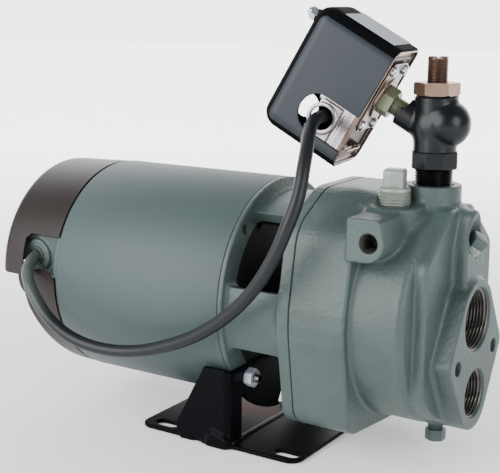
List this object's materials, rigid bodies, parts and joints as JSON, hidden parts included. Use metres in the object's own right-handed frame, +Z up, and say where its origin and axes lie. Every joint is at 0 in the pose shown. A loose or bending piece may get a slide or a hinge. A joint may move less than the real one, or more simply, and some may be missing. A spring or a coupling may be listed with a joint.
{
  "type": "shallow well jet pump",
  "caption": "Convertible jet water pump: drip-proof motor and two-port cast head, with a pressure regulator and pressure switch on top, on a slotted steel foot.",
  "frame": {"origin": "centre of the four foot slots, on the floor", "axes": "+X along the shaft towards the suction face, +Z up, -Y the side with the cord and the gauge port"},
  "size_m": [0.365, 0.186, 0.306],
  "materials": {
    "green_paint": "satin",
    "canopy_paint": "satin",
    "foot_paint": "gloss",
    "steel": "satin",
    "bearing_steel": "polished",
    "zinc_plate": "bright",
    "winding": "varnished",
    "cage_aluminium": "cast",
    "phenolic": "matte",
    "black_plastic": "satin",
    "bushing": "matte",
    "black_rubber": "matte",
    "moulded_plastic": "matte",
    "ceramic": "polished",
    "seal_carbon": "satin",
    "galvanised": "dull",
    "valve_paint": "gloss",
    "brass": "satin",
    "bronze": "satin",
    "nipple_plate": "satin",
    "switch_steel": "satin",
    "cover_paint": "satin",
    "cord_sheath": "satin"
  },
  "bodies": {
    "frame": {"motor_shell": "green_paint", "stator_core": "steel", "stator_windings": "winding", "front_bearing": "bearing_steel", "rear_bearing": "bearing_steel", "wave_washer": "steel", "rear_end_bell": "green_paint", "motor_bracket": "green_paint", "rear_canopy": "canopy_paint", "canopy_screws": "steel", "through_bolts": "steel", "through_bolt_nuts": "zinc_plate", "start_switch": "phenolic", "capacitor": "black_plastic", "capacitor_strap": "steel", "overload_protector": "phenolic", "motor_strain_relief": "bushing", "base_foot": "foot_paint", "pump_casing": "green_paint", "body_gasket": "black_rubber", "casing_bolts": "steel", "diffuser": "moulded_plastic", "diffuser_oring": "black_rubber", "seal_cup": "black_plastic", "seal_seat": "ceramic", "vent_plug": "galvanised", "front_plug": "green_paint", "drain_plug": "green_paint", "regulator_body": "valve_paint", "regulator_seal": "black_rubber", "regulator_spring": "steel", "regulator_locknut": "bronze", "switch_nipple": "nipple_plate", "switch_flange": "switch_steel", "switch_flange_screws": "zinc_plate", "switch_diaphragm": "black_rubber", "switch_base": "switch_steel", "lever_pin": "steel", "range_nut": "steel", "contact_block": "phenolic", "switch_cover": "cover_paint", "switch_cover_nut": "zinc_plate", "cable_clamp": "zinc_plate", "clamp_screws": "zinc_plate", "motor_cord": "cord_sheath"},
    "shaft_line": {"shaft": "steel", "rotor_core": "steel", "rotor_cage": "cage_aluminium", "governor_hub": "steel", "slinger": "black_rubber", "impeller": "moulded_plastic", "seal_head": "seal_carbon", "seal_spring": "steel"},
    "governor": {"governor_spool": "phenolic"},
    "cap": {"regulator_cap": "brass"},
    "screw": {"regulator_screw": "bronze"},
    "piston": {"regulator_piston": "brass"},
    "lever": {"switch_lever": "switch_steel", "range_spring": "steel", "contact_arm": "brass"}
  },
  "joints": [
    {"name": "shaft_spin", "type": "hinge", "parent": "frame", "child": "shaft_line", "pos_m": [0, 0, 0.1], "axis": [1, 0, 0], "continuous": true},
    {"name": "governor_slide", "type": "slide", "parent": "shaft_line", "child": "governor", "axis": [-1, 0, 0], "range_m": [0, 0.003], "stiffness_N_per_m": 2000},
    {"name": "screw_travel", "type": "slide", "parent": "frame", "child": "cap", "axis": [0, 0, 1], "range_m": [-0.004, 0.002], "deforming": ["regulator_spring"]},
    {"name": "screw_turn", "type": "hinge", "parent": "cap", "child": "screw", "pos_m": [0.123, 0, 0.25], "axis": [0, 0, 1], "range_deg": [-1022, 511]},
    {"name": "piston_lift", "type": "slide", "parent": "frame", "child": "piston", "axis": [0, 0, 1], "range_m": [0, 0.004], "stiffness_N_per_m": 4000, "springref_m": -0.002},
    {"name": "lever_tilt", "type": "hinge", "parent": "frame", "child": "lever", "pos_m": [0.07001, -0.00745, 0.23773], "axis": [0.1392, -0.9903, 0], "range_deg": [0, 1.1], "stiffness_Nm_per_rad": 20, "springref_deg": -1.15}
  ],
  "couplings": [
    {"joint": "screw_turn", "follows": "screw_travel", "rad_per_m": 4456}
  ]
}
